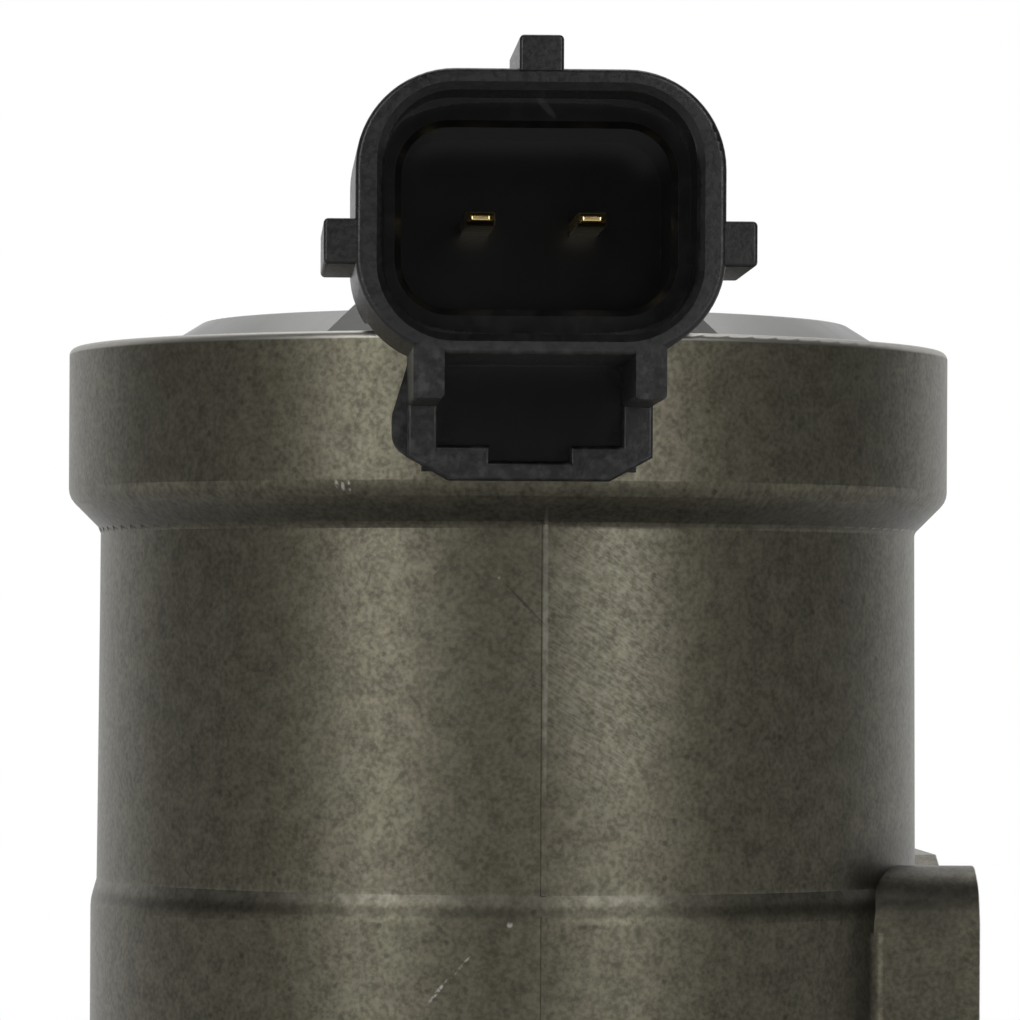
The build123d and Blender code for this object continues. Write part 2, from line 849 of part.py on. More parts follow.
nodes = {
    "valve_body": valve_body(),
    "top_cover": top_cover(),
    "cover_seal": cover_seal(),
    "connector": connector(),
    "terminal_left": terminal(-1),
    "terminal_right": terminal(1),
    "coil_bobbin": coil_bobbin(),
    "coil_winding": coil_winding(),
    "yoke_sleeve": ring(yoke_bore, yoke_radius, bottom_pole_top, top_pole_bottom),
    "top_pole_plate": top_pole_plate(),
    "bottom_pole_plate": ring(sleeve_radius + slip_gap, yoke_radius, guide_top, bottom_pole_top),
    "spring_washer": spring_washer(),
    "guide_sleeve": ring(sleeve_bore, sleeve_radius, guide_top, top_pole_bottom),
    "fixed_core": fixed_core(),
    "guide_plate": guide_plate(),
    "shaft_bush": ring(shaft_radius + running_gap, bush_radius, coil_floor - bush_drop, guide_top),
    "seat_ring": seat_ring(),
    "flange_seal": flange_seal(),
    "end_plug": end_plug(),
    "plug_seal": plug_seal(),
    "lower_bush": lower_bush(),
    "return_spring": coil_spring(return_radius, return_wire, armature_floor, core_ceiling, return_turns),
    "balance_spring": coil_spring(balance_radius, balance_wire, plug_top, nose_bottom, balance_turns),
    "armature": armature(),
    "valve_shaft": valve_shaft(),
    "poppet": poppet(),
    "poppet_seal": poppet_seal(),
    "shaft_clip": shaft_clip(),
}

os.makedirs("parts", exist_ok=True)
for name, piece in nodes.items():
    export_step(Pos(-face_offset, 0, 0) * piece, f"parts/{name}.step")
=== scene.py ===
import json
import math

import bmesh
import bpy
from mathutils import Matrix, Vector
from mathutils.kdtree import KDTree


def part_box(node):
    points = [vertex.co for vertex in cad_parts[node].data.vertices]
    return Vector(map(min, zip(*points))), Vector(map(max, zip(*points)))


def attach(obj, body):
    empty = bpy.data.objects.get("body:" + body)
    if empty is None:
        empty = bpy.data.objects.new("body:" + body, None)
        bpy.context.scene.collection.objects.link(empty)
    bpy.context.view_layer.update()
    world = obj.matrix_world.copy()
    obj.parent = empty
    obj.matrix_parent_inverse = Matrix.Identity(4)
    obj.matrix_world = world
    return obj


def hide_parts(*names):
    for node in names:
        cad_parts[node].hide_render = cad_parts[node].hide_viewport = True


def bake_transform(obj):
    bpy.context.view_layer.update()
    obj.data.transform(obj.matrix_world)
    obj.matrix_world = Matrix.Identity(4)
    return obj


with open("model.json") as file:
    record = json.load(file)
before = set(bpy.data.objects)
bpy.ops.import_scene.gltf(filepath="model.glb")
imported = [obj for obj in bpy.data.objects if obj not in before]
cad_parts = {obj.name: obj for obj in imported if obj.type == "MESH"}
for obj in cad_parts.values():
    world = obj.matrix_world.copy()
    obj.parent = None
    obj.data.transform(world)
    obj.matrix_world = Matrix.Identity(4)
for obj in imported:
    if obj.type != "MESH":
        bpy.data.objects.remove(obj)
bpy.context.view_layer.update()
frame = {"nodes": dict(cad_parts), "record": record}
cadNodes = frame["nodes"]
bpy.ops.object.select_all(action="DESELECT")
print("frame loaded,", len(cadNodes), "nodes")

# places that the camera, the lamps and the finishes are measured from
bodyLow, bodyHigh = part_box("valve_body")
yokeLow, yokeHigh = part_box("yoke_sleeve")
axisX = (yokeLow.x + yokeHigh.x) / 2
rimTop = bodyHigh.z
footZ = bodyLow.z


# node helpers

def addNode(tree, kind, settings=None, sockets=None):
    node = tree.nodes.new(kind)
    for name, value in (settings or {}).items():
        setattr(node, name, value)
    for name, value in (sockets or {}).items():
        node.inputs[name].default_value = value
    return node


def wire(tree, source, output, target, socket):
    tree.links.new(source.outputs[output], target.inputs[socket])


def mathNode(tree, operation, *values):
    # each value is a number or a (node, output) pair
    node = addNode(tree, "ShaderNodeMath", {"operation": operation})
    for index, value in enumerate(values):
        if isinstance(value, tuple):
            wire(tree, *value, node, index)
        else:
            node.inputs[index].default_value = value
    return node


def remap(tree, source, output, low, high, newLow=0.0, newHigh=1.0, smooth=True):
    kind = "SMOOTHSTEP" if smooth else "LINEAR"
    sockets = {"From Min": low, "From Max": high, "To Min": newLow, "To Max": newHigh}
    node = addNode(tree, "ShaderNodeMapRange", {"interpolation_type": kind}, sockets)
    wire(tree, source, output, node, "Value")
    return node


mixInputs = (6, 7)  # colour sockets of a Mix node, whose names its other sockets share
mixOutput = 2


def mixColour(tree, mask, maskOutput, first, second, blend="MIX"):
    # mask is a node or a number, and first and second are colours or other colour mixes
    node = addNode(tree, "ShaderNodeMix", {"data_type": "RGBA", "blend_type": blend})
    if isinstance(mask, float):
        node.inputs[0].default_value = mask
    else:
        wire(tree, mask, maskOutput, node, 0)
    for index, value in zip(mixInputs, (first, second)):
        if isinstance(value, bpy.types.Node):
            wire(tree, value, mixOutput, node, index)
        else:
            node.inputs[index].default_value = (*value, 1.0)
    return node


def newGroup(name, inputs, outputs):
    group = bpy.data.node_groups.new(name, "ShaderNodeTree")
    for label, kind, value in inputs:
        socket = group.interface.new_socket(label, in_out="INPUT", socket_type=kind)
        if value is not None:
            socket.default_value = value
    for label, kind in outputs:
        group.interface.new_socket(label, in_out="OUTPUT", socket_type=kind)
    return group, addNode(group, "NodeGroupInput"), addNode(group, "NodeGroupOutput")


# shared effects

effects = {  # parts of a noise or a distance over which a mask fades
    "grainRange": (0.3, 0.7),
    "stainRange": (0.32, 0.68),
    "pitRange": (0.08, 0.2),
    "strokeRange": (0.0, 0.06),
    "patchRange": (0.45, 1.0),
}


def makeGrainGroup():
    # blasted grain, soft stains and small pits
    group, source, result = newGroup(
        "blastedGrain",
        [
            ("Vector", "NodeSocketVector", None),
            ("Grain Scale", "NodeSocketFloat", 3000.0),
            ("Stain Scale", "NodeSocketFloat", 260.0),
            ("Pit Scale", "NodeSocketFloat", 700.0),
        ],
        [("Grain", "NodeSocketFloat"), ("Stain", "NodeSocketFloat"), ("Pit", "NodeSocketFloat")],
    )
    stainSockets = {"Detail": 4.0, "Roughness": 0.62, "Distortion": 0.4}
    grain = addNode(group, "ShaderNodeTexNoise", sockets={"Detail": 2.0, "Roughness": 0.5})
    stain = addNode(group, "ShaderNodeTexNoise", sockets=stainSockets)
    pit = addNode(group, "ShaderNodeTexVoronoi", {"feature": "F1"}, {"Randomness": 1.0})
    for node, scale in ((grain, "Grain Scale"), (stain, "Stain Scale"), (pit, "Pit Scale")):
        wire(group, source, "Vector", node, "Vector")
        wire(group, source, scale, node, "Scale")
    grainLevel = remap(group, grain, "Fac", *effects["grainRange"])
    stainLevel = remap(group, stain, "Fac", *effects["stainRange"])
    pitLevel = remap(group, pit, "Distance", *effects["pitRange"], 1.0, 0.0)
    wire(group, grainLevel, "Result", result, "Grain")
    wire(group, stainLevel, "Result", result, "Stain")
    wire(group, pitLevel, "Result", result, "Pit")
    return group


def makeScratchGroup():
    # long thin strokes along the local X of the vector
    group, source, result = newGroup(
        "thinScratches",
        [
            ("Vector", "NodeSocketVector", None),
            ("Across", "NodeSocketFloat", 4200.0),
            ("Along", "NodeSocketFloat", 160.0),
            ("Share", "NodeSocketFloat", 0.66),
        ],
        [("Stroke", "NodeSocketFloat")],
    )
    stretch = addNode(group, "ShaderNodeCombineXYZ")
    wire(group, source, "Along", stretch, "X")
    wire(group, source, "Across", stretch, "Y")
    wire(group, source, "Across", stretch, "Z")
    scaled = addNode(group, "ShaderNodeVectorMath", {"operation": "MULTIPLY"})
    wire(group, source, "Vector", scaled, 0)
    wire(group, stretch, "Vector", scaled, 1)
    noise = addNode(group, "ShaderNodeTexNoise", sockets={"Scale": 1.0, "Detail": 1.0, "Roughness": 0.4})
    wire(group, scaled, "Vector", noise, "Vector")
    above = mathNode(group, "SUBTRACT", (noise, "Fac"), (source, "Share"))
    stroke = remap(group, above, "Value", *effects["strokeRange"])
    wire(group, stroke, "Result", result, "Stroke")
    return group


def makeTurningGroup():
    # rings left by a lathe about the valve axis
    group, source, result = newGroup(
        "turningMarks",
        [("Vector", "NodeSocketVector", None), ("Pitch", "NodeSocketFloat", 5000.0)],
        [("Ring", "NodeSocketFloat")],
    )
    split = addNode(group, "ShaderNodeSeparateXYZ")
    wire(group, source, "Vector", split, "Vector")
    offset = mathNode(group, "SUBTRACT", (split, "X"), axisX)
    squareX = mathNode(group, "MULTIPLY", (offset, "Value"), (offset, "Value"))
    squareY = mathNode(group, "MULTIPLY", (split, "Y"), (split, "Y"))
    total = mathNode(group, "ADD", (squareX, "Value"), (squareY, "Value"))
    radius = mathNode(group, "SQRT", (total, "Value"))
    place = mathNode(group, "ADD", (radius, "Value"), (split, "Z"))
    sockets = {"Detail": 3.0, "Roughness": 0.7}
    noise = addNode(group, "ShaderNodeTexNoise", {"noise_dimensions": "1D"}, sockets)
    wire(group, place, "Value", noise, "W")
    wire(group, source, "Pitch", noise, "Scale")
    wire(group, noise, "Fac", result, "Ring")
    return group


def makePatchGroup():
    # a soft-edged oval spot round a point
    group, source, result = newGroup(
        "ovalPatch",
        [
            ("Vector", "NodeSocketVector", None),
            ("Middle", "NodeSocketVector", None),
            ("Size", "NodeSocketVector", None),
            ("Turn", "NodeSocketFloat", 0.0),
        ],
        [("Mask", "NodeSocketFloat")],
    )
    shift = addNode(group, "ShaderNodeVectorMath", {"operation": "SUBTRACT"})
    wire(group, source, "Vector", shift, 0)
    wire(group, source, "Middle", shift, 1)
    turn = addNode(group, "ShaderNodeVectorRotate", {"rotation_type": "Y_AXIS"})
    wire(group, shift, "Vector", turn, "Vector")
    wire(group, source, "Turn", turn, "Angle")
    share = addNode(group, "ShaderNodeVectorMath", {"operation": "DIVIDE"})
    wire(group, turn, "Vector", share, 0)
    wire(group, source, "Size", share, 1)
    reach = addNode(group, "ShaderNodeVectorMath", {"operation": "LENGTH"})
    wire(group, share, "Vector", reach, 0)
    mask = remap(group, reach, "Value", *effects["patchRange"], 1.0, 0.0)
    wire(group, mask, "Result", result, "Mask")
    return group


grainGroup = makeGrainGroup()
scratchGroup = makeScratchGroup()
turningGroup = makeTurningGroup()
patchGroup = makePatchGroup()
print("shared effects built")


# finishes

def newFinish(name, metallic):
    finish = bpy.data.materials.new(name)
    finish.use_nodes = True
    tree = finish.node_tree
    shader = tree.nodes["Principled BSDF"]
    shader.inputs["Metallic"].default_value = metallic
    coords = addNode(tree, "ShaderNodeTexCoord")
    return finish, tree, shader, coords


def turnCoords(tree, coords, angles):
    node = addNode(tree, "ShaderNodeMapping")
    node.inputs["Rotation"].default_value = [math.radians(angle) for angle in angles]
    wire(tree, coords, "Object", node, "Vector")
    return node


def splitCoords(tree, coords):
    node = addNode(tree, "ShaderNodeSeparateXYZ")
    wire(tree, coords, "Object", node, "Vector")
    return node


def addNoise(tree, coords, scale, detail):
    node = addNode(tree, "ShaderNodeTexNoise", sockets={"Scale": scale, "Detail": detail})
    wire(tree, coords, "Object", node, "Vector")
    return node


def placeGroup(tree, group, coords, sockets, output="Object"):
    node = addNode(tree, "ShaderNodeGroup", {"node_tree": group}, sockets)
    wire(tree, coords, output, node, "Vector")
    return node


def addPatch(tree, coords, middle, size, lean=0.0):
    # middle is measured from the valve axis and the rim plane
    x, y, z = middle
    sockets = {"Middle": (axisX + x, y, rimTop + z), "Size": size, "Turn": math.radians(lean)}
    return placeGroup(tree, patchGroup, coords, sockets)


def weighted(tree, parts):
    # parts is a list of (node, output, weight)
    total = None
    for node, output, weight in parts:
        part = mathNode(tree, "MULTIPLY", (node, output), weight)
        total = part if total is None else mathNode(tree, "ADD", (total, "Value"), (part, "Value"))
    return total


def addBump(tree, shader, heights, strength, distance):
    bump = addNode(tree, "ShaderNodeBump", sockets={"Strength": strength, "Distance": distance})
    wire(tree, weighted(tree, heights), "Value", bump, "Height")
    wire(tree, bump, "Normal", shader, "Normal")


castFinish = {
    "dark": (0.054, 0.050, 0.037),
    "light": (0.116, 0.110, 0.083),
    "warm": (1.0, 0.97, 0.94),
    "cool": (0.99, 1.0, 0.95),
    "bareAndHighlight": (0.32, 0.31, 0.28),  # rubbed lip, strokes and nicks, and painted highlights on the ridge crest and the step edge
    "machined": (0.38, 0.38, 0.37),
    "milled": (0.46, 0.46, 0.45),
    # colour of the dark pits and the thin scratch, and of the painted shade under the rim, under the step and
    # on the port block
    "darkMarksAndShade": (0.012, 0.011, 0.009),
    "metallic": 0.86,
    "roughness": (0.416, 0.388),  # where the grain is dark and where it is light
    "grainScale": 3700.0,
    "stainScale": 900.0,
    "pitScale": 900.0,
    "pitShare": 0.35,
    "tone": {"Stain": 0.45, "Grain": 0.55},
    "hueScale": 260.0,
    "hueDetail": 2.0,
    "hueRange": (0.35, 0.65),
    "heights": {"Grain": 0.8, "Stain": 0.6, "Pit": -0.4},
    "rubbedHeight": -0.35,
    "bump": 0.1,
    "bumpDepth": 0.00002,
    "faceSkin": 0.00004,  # depth of the machined mounting face
    "milling": {"Across": 2600.0, "Along": 60.0, "Share": 0.48},
    "millTurn": (0.0, 0.0, 90.0),
    "lip": (0.00046, 0.00032),  # rubbed band under the rim plane
    "rubbed": ((0.0042, -0.0226, -0.0170), (0.0056, 0.010, 0.0105)),  # patch of slanting strokes
    "rubbedShare": 0.08,
    "rubbedTurn": (0.0, -32.0, 0.0),
    "strokes": {"Across": 8000.0, "Along": 1000.0, "Share": 0.50},
    "nicks": [  # place, size and lean
        ((-0.01011, -0.0229, -0.0082), (0.00012, 0.0005, 0.00032), 20.0),
        ((-0.00978, -0.0230, -0.0083), (0.00012, 0.0005, 0.00036), 12.0),
        ((-0.00944, -0.0231, -0.0083), (0.00010, 0.0005, 0.00040), 8.0),
        ((-0.00460, -0.0232, -0.0352), (0.00012, 0.0006, 0.0010), -38.0),
        ((-0.00330, -0.0234, -0.0338), (0.00010, 0.0006, 0.0008), -40.0),
        ((-0.00080, -0.0236, -0.0316), (0.00022, 0.0006, 0.00022), 0.0),
        ((-0.00145, -0.0232, -0.01312), (0.00011, 0.0006, 0.00011), 0.0),
    ],
    "worn": [  # painted highlights on the crest of the parting ridge and on the edge where the barrel meets its step: place, size, share
        ((0.00106, -0.0232, -0.0160), (0.00019, 0.0016, 0.0110), 0.28),
        ((0.0, 0.0, -0.0303), (0.045, 0.045, 0.00055), 0.15),
    ],
    "blotchy": (0.45, 1.0),  # the painted highlights come and go along an edge
    "shadeAndScratch": [  # painted shade under the rim, under the step and on the port block, and one thin dark scratch: place, size, lean, share
        ((0.0, 0.0, -0.00975), (0.045, 0.045, 0.00115), 0.0, 0.42),
        ((0.0, 0.0, -0.0310), (0.045, 0.045, 0.00045), 0.0, 0.38),
        ((0.00005, -0.0232, -0.01465), (0.00010, 0.001, 0.0022), 44.0, 0.5),
        ((0.0225, -0.0150, -0.0294), (0.0065, 0.02, 0.0036), 0.0, 0.50),
        ((0.0225, -0.0170, -0.0350), (0.0065, 0.01, 0.0090), 0.0, 0.25),
    ],
}


def makeCastFinish():
    finish, tree, shader, coords = newFinish("castAluminium", castFinish["metallic"])
    grain = placeGroup(tree, grainGroup, coords, {
        "Grain Scale": castFinish["grainScale"],
        "Stain Scale": castFinish["stainScale"],
        "Pit Scale": castFinish["pitScale"],
    })
    tone = weighted(tree, [(grain, output, share) for output, share in castFinish["tone"].items()])
    skin = mixColour(tree, tone, "Value", castFinish["dark"], castFinish["light"])
    hue = addNoise(tree, coords, castFinish["hueScale"], castFinish["hueDetail"])
    hue = remap(tree, hue, "Fac", *castFinish["hueRange"])
    tint = mixColour(tree, hue, "Result", castFinish["warm"], castFinish["cool"])
    skin = mixColour(tree, 1.0, None, skin, tint, "MULTIPLY")
    pitted = mathNode(tree, "MULTIPLY", (grain, "Pit"), castFinish["pitShare"])
    skin = mixColour(tree, pitted, "Value", skin, castFinish["darkMarksAndShade"])

    # slanting strokes in one rubbed patch, and a few bright nicks
    slant = turnCoords(tree, coords, castFinish["rubbedTurn"])
    strokes = placeGroup(tree, scratchGroup, slant, castFinish["strokes"], "Vector")
    rubbed = addPatch(tree, coords, *castFinish["rubbed"])
    rubbed = mathNode(tree, "MULTIPLY", (strokes, "Stroke"), (rubbed, "Mask"))
    bareAndHighlight = mathNode(tree, "MULTIPLY", (rubbed, "Value"), castFinish["rubbedShare"])
    for middle, size, lean in castFinish["nicks"]:
        nick = addPatch(tree, coords, middle, size, lean)
        nick = mathNode(tree, "MULTIPLY", (nick, "Mask"), (grain, "Grain"))
        bareAndHighlight = mathNode(tree, "MAXIMUM", (bareAndHighlight, "Value"), (nick, "Value"))

    # painted highlights on the crest of the parting ridge and on the step's edge, broken up along the edge
    blotch = remap(tree, grain, "Stain", 0.0, 1.0, *castFinish["blotchy"])
    for middle, size, share in castFinish["worn"]:
        worn = addPatch(tree, coords, middle, size)
        worn = mathNode(tree, "MULTIPLY", (worn, "Mask"), (blotch, "Result"))
        worn = mathNode(tree, "MULTIPLY", (worn, "Value"), share)
        bareAndHighlight = mathNode(tree, "MAXIMUM", (bareAndHighlight, "Value"), (worn, "Value"))
    # painted shade under the rim, under the step and on the port block, and one thin dark scratch
    for middle, size, lean, share in castFinish["shadeAndScratch"]:
        shadeAndScratch = addPatch(tree, coords, middle, size, lean)
        shadeAndScratch = mathNode(tree, "MULTIPLY", (shadeAndScratch, "Mask"), share)
        skin = mixColour(tree, shadeAndScratch, "Value", skin, castFinish["darkMarksAndShade"])

    # the rubbed lip and the machined mounting face
    place = splitCoords(tree, coords)
    lipLow, lipHigh = castFinish["lip"]
    lip = remap(tree, place, "Z", rimTop - lipLow, rimTop - lipHigh)
    bareAndHighlight = mathNode(tree, "MAXIMUM", (bareAndHighlight, "Value"), (lip, "Result"))
    skin = mixColour(tree, bareAndHighlight, "Value", skin, castFinish["bareAndHighlight"])
    face = mathNode(tree, "GREATER_THAN", (place, "X"), -castFinish["faceSkin"])
    across = turnCoords(tree, coords, castFinish["millTurn"])
    milling = placeGroup(tree, scratchGroup, across, castFinish["milling"], "Vector")
    metal = mixColour(tree, milling, "Stroke", castFinish["machined"], castFinish["milled"])
    skin = mixColour(tree, face, "Value", skin, metal)
    wire(tree, skin, mixOutput, shader, "Base Color")

    rough = remap(tree, grain, "Grain", 0.0, 1.0, *castFinish["roughness"])
    wire(tree, rough, "Result", shader, "Roughness")
    heights = [(grain, output, share) for output, share in castFinish["heights"].items()]
    heights.append((rubbed, "Value", castFinish["rubbedHeight"]))
    addBump(tree, shader, heights, castFinish["bump"], castFinish["bumpDepth"])
    return finish


coverFinish = {
    "dark": (0.135, 0.135, 0.131),
    "light": (0.165, 0.165, 0.161),
    "roughness": (0.31, 0.38),
    "grainScale": 1800.0,
    "stainScale": 220.0,
    "strokes": {"Across": 2600.0, "Along": 90.0, "Share": 0.6},
    "grainHeight": 0.3,
    "strokeHeight": -0.4,
    "bump": 0.2,
    "bumpDepth": 0.00001,
}


def makeCoverFinish():
    finish, tree, shader, coords = newFinish("coverSteel", 1.0)
    grain = placeGroup(tree, grainGroup, coords, {
        "Grain Scale": coverFinish["grainScale"],
        "Stain Scale": coverFinish["stainScale"],
    })
    strokes = placeGroup(tree, scratchGroup, coords, coverFinish["strokes"])
    skin = mixColour(tree, grain, "Stain", coverFinish["dark"], coverFinish["light"])
    wire(tree, skin, mixOutput, shader, "Base Color")
    rough = remap(tree, grain, "Stain", 0.0, 1.0, *coverFinish["roughness"])
    wire(tree, rough, "Result", shader, "Roughness")
    heights = [(grain, "Grain", coverFinish["grainHeight"]), (strokes, "Stroke", coverFinish["strokeHeight"])]
    addBump(tree, shader, heights, coverFinish["bump"], coverFinish["bumpDepth"])
    return finish


plasticFinish = {
    "dark": (0.0030, 0.0030, 0.0029),
    "light": (0.0060, 0.0060, 0.0058),
    "scuffed": (0.034, 0.034, 0.033),
    "roughness": (0.34, 0.44),
    "polished": 0.2,
    "gloss": 0.36,
    "grainScale": 3800.0,
    "stainScale": 900.0,
    "scuffScale": 1500.0,
    "scuffDetail": 3.0,
    "scuffRange": (0.42, 0.72),
    "loopTop": (-0.0022, -0.0012),  # the lock loop is scuffed, under this level from the rim plane
    "loopShare": (0.8, 0.12),  # scuffs on the loop and on the shell above it
    "loopBack": (-0.0263, -0.0261),  # scuffs end in front of the wall behind the loop
    "scrape": ((0.0004, -0.0345, 0.0112), (0.00026, 0.004, 0.0012), 40.0),  # in the socket's roof
    "socket": (0.00535, 0.0082, 0.0060),  # smooth inside: middle over the rim plane, half width, half height
    "socketPower": 4.0,
    "socketEdge": (0.85, 1.05),
    "loopWall": ((0.0, -0.0252, -0.0042), (0.0090, 0.0020, 0.0055)),  # smooth wall behind the lock loop
    "wornHeight": 0.8,
    "bump": 0.35,
    "bumpDepth": 0.000015,
}


def makePlasticFinish():
    finish, tree, shader, coords = newFinish("blackPlastic", 0.0)
    shader.inputs["Specular IOR Level"].default_value = plasticFinish["gloss"]
    grain = placeGroup(tree, grainGroup, coords, {
        "Grain Scale": plasticFinish["grainScale"],
        "Stain Scale": plasticFinish["stainScale"],
    })
    place = splitCoords(tree, coords)

    # scuffs on the lock loop, and one scrape
    skin = mixColour(tree, grain, "Stain", plasticFinish["dark"], plasticFinish["light"])
    scuff = addNoise(tree, coords, plasticFinish["scuffScale"], plasticFinish["scuffDetail"])
    scuff = remap(tree, scuff, "Fac", *plasticFinish["scuffRange"])
    loopLow, loopHigh = plasticFinish["loopTop"]
    loop = remap(tree, place, "Z", rimTop + loopLow, rimTop + loopHigh, *plasticFinish["loopShare"])
    front = remap(tree, place, "Y", *plasticFinish["loopBack"], 1.0, 0.0)
    worn = mathNode(tree, "MULTIPLY", (scuff, "Result"), (loop, "Result"))
    worn = mathNode(tree, "MULTIPLY", (worn, "Value"), (front, "Result"))
    scrape = addPatch(tree, coords, *plasticFinish["scrape"])
    worn = mathNode(tree, "MAXIMUM", (worn, "Value"), (scrape, "Mask"))
    skin = mixColour(tree, worn, "Value", skin, plasticFinish["scuffed"])
    wire(tree, skin, mixOutput, shader, "Base Color")

    # the inside of the socket and the wall behind the loop are smooth
    middle, halfWidth, halfHeight = plasticFinish["socket"]
    outline = []
    for axis, centre, half in (("X", axisX, halfWidth), ("Z", rimTop + middle, halfHeight)):
        part = mathNode(tree, "SUBTRACT", (place, axis), centre)
        part = mathNode(tree, "DIVIDE", (part, "Value"), half)
        part = mathNode(tree, "ABSOLUTE", (part, "Value"))
        outline.append((mathNode(tree, "POWER", (part, "Value"), plasticFinish["socketPower"]), "Value"))
    inside = remap(tree, mathNode(tree, "ADD", *outline), "Value", *plasticFinish["socketEdge"], 1.0, 0.0)
    wall = addPatch(tree, coords, *plasticFinish["loopWall"])
    smooth = mathNode(tree, "MAXIMUM", (inside, "Result"), (wall, "Mask"))
    matt = mathNode(tree, "SUBTRACT", 1.0, (smooth, "Value"))
    rough = remap(tree, grain, "Grain", 0.0, 1.0, *plasticFinish["roughness"])
    rough = mathNode(tree, "MULTIPLY", (rough, "Result"), (matt, "Value"))
    rough = mathNode(tree, "MAXIMUM", (rough, "Value"), plasticFinish["polished"])
    wire(tree, rough, "Value", shader, "Roughness")
    height = mathNode(tree, "MULTIPLY", (grain, "Grain"), (matt, "Value"))
    heights = [(height, "Value", 1.0), (worn, "Value", plasticFinish["wornHeight"])]
    addBump(tree, shader, heights, plasticFinish["bump"], plasticFinish["bumpDepth"])
    return finish


turnedFinish = {
    "pitch": 5000.0,
    "groundPitch": 9000.0,
    "stainScale": 300.0,
    "ringRange": (0.3, 0.7),
    "spread": (-0.07, 0.08),  # of the roughness
    "bump": 0.25,
    "bumpDepth": 0.000008,
}


def makeTurnedFinish(name, dark, light, roughness, pitch=turnedFinish["pitch"]):
    finish, tree, shader, coords = newFinish(name, 1.0)
    ring = placeGroup(tree, turningGroup, coords, {"Pitch": pitch})
    grain = placeGroup(tree, grainGroup, coords, {"Stain Scale": turnedFinish["stainScale"]})
    level = mathNode(tree, "MULTIPLY", (ring, "Ring"), (grain, "Stain"))
    skin = mixColour(tree, level, "Value", dark, light)
    wire(tree, skin, mixOutput, shader, "Base Color")
    smoothest, roughest = (roughness + step for step in turnedFinish["spread"])
    rough = remap(tree, ring, "Ring", *turnedFinish["ringRange"], smoothest, roughest)
    wire(tree, rough, "Result", shader, "Roughness")
    addBump(tree, shader, [(ring, "Ring", 1.0)], turnedFinish["bump"], turnedFinish["bumpDepth"])
    return finish


mouldedFinish = {
    "grainScale": 3600.0,
    "stainScale": 350.0,
    "spread": (-0.06, 0.08),  # of the roughness
    "bump": 0.2,
    "bumpDepth": 0.00001,
}


def makeMouldedFinish(name, dark, light, roughness):
    finish, tree, shader, coords = newFinish(name, 0.0)
    grain = placeGroup(tree, grainGroup, coords, {
        "Grain Scale": mouldedFinish["grainScale"],
        "Stain Scale": mouldedFinish["stainScale"],
    })
    skin = mixColour(tree, grain, "Stain", dark, light)
    wire(tree, skin, mixOutput, shader, "Base Color")
    smoothest, roughest = (roughness + step for step in mouldedFinish["spread"])
    rough = remap(tree, grain, "Grain", 0.0, 1.0, smoothest, roughest)
    wire(tree, rough, "Result", shader, "Roughness")
    addBump(tree, shader, [(grain, "Grain", 1.0)], mouldedFinish["bump"], mouldedFinish["bumpDepth"])
    return finish


finishes = {
    "cast_aluminium": makeCastFinish(),
    "cover_steel": makeCoverFinish(),
    "black_plastic": makePlasticFinish(),
    "terminal_brass": makeTurnedFinish("terminalBrass", (0.66, 0.50, 0.22), (0.92, 0.79, 0.48), 0.26),
    "bobbin_plastic": makeMouldedFinish("bobbinPlastic", (0.55, 0.51, 0.40), (0.66, 0.62, 0.50), 0.5),
    "copper_wire": makeTurnedFinish("copperWire", (0.42, 0.14, 0.06), (0.62, 0.25, 0.11), 0.3),
    "magnet_steel": makeTurnedFinish("magnetSteel", (0.34, 0.34, 0.35), (0.52, 0.52, 0.53), 0.36),
    "spring_steel": makeTurnedFinish("springSteel", (0.30, 0.30, 0.32), (0.48, 0.48, 0.50), 0.3),
    "ground_steel": makeTurnedFinish(
        "groundSteel", (0.50, 0.50, 0.51), (0.66, 0.66, 0.67), 0.2, turnedFinish["groundPitch"]
    ),
    "plug_steel": makeTurnedFinish("plugSteel", (0.36, 0.34, 0.28), (0.55, 0.52, 0.44), 0.34),
    "bearing_brass": makeTurnedFinish("bearingBrass", (0.50, 0.34, 0.13), (0.72, 0.54, 0.26), 0.3),
    "turned_aluminium": makeTurnedFinish("turnedAluminium", (0.55, 0.55, 0.54), (0.74, 0.74, 0.73), 0.3),
    "black_rubber": makeMouldedFinish("blackRubber", (0.010, 0.010, 0.010), (0.022, 0.022, 0.021), 0.62),
}
slotOf = {row["node"]: row["material_slot"] for row in frame["record"]["subparts"]}
for nodeName, nodeObject in cadNodes.items():
    nodeObject.data.materials.clear()
    nodeObject.data.materials.append(finishes[slotOf[nodeName]])
print("finishes placed on", len(slotOf), "nodes")


# pieces that take the place of plain solids

mergeWithin = 0.000002  # points this close become one
flatWithin = 0.5  # faces that meet at less than this angle become one
facing = 0.9  # least part of a normal along the axis that its face looks down


def selectFaces(piece, test):
    bpy.ops.mesh.select_mode(type="FACE")
    bpy.ops.mesh.select_all(action="DESELECT")
    mesh = bmesh.from_edit_mesh(piece.data)
    for face in mesh.faces:
        if test(face.normal, face.calc_center_median()):
            face.select_set(True)
    bmesh.update_edit_mesh(piece.data)


def roundEdges(piece, width, segments, angle=30.0):
    # the flat faces keep their own normals
    bpy.ops.object.shade_smooth()
    bpy.ops.object.modifier_add(type="BEVEL")
    bevel = piece.modifiers[-1]
    bevel.width = width
    bevel.segments = segments
    bevel.limit_method = "ANGLE"
    bevel.angle_limit = math.radians(angle)
    bevel.harden_normals = True
    bpy.ops.object.modifier_apply(modifier=bevel.name)


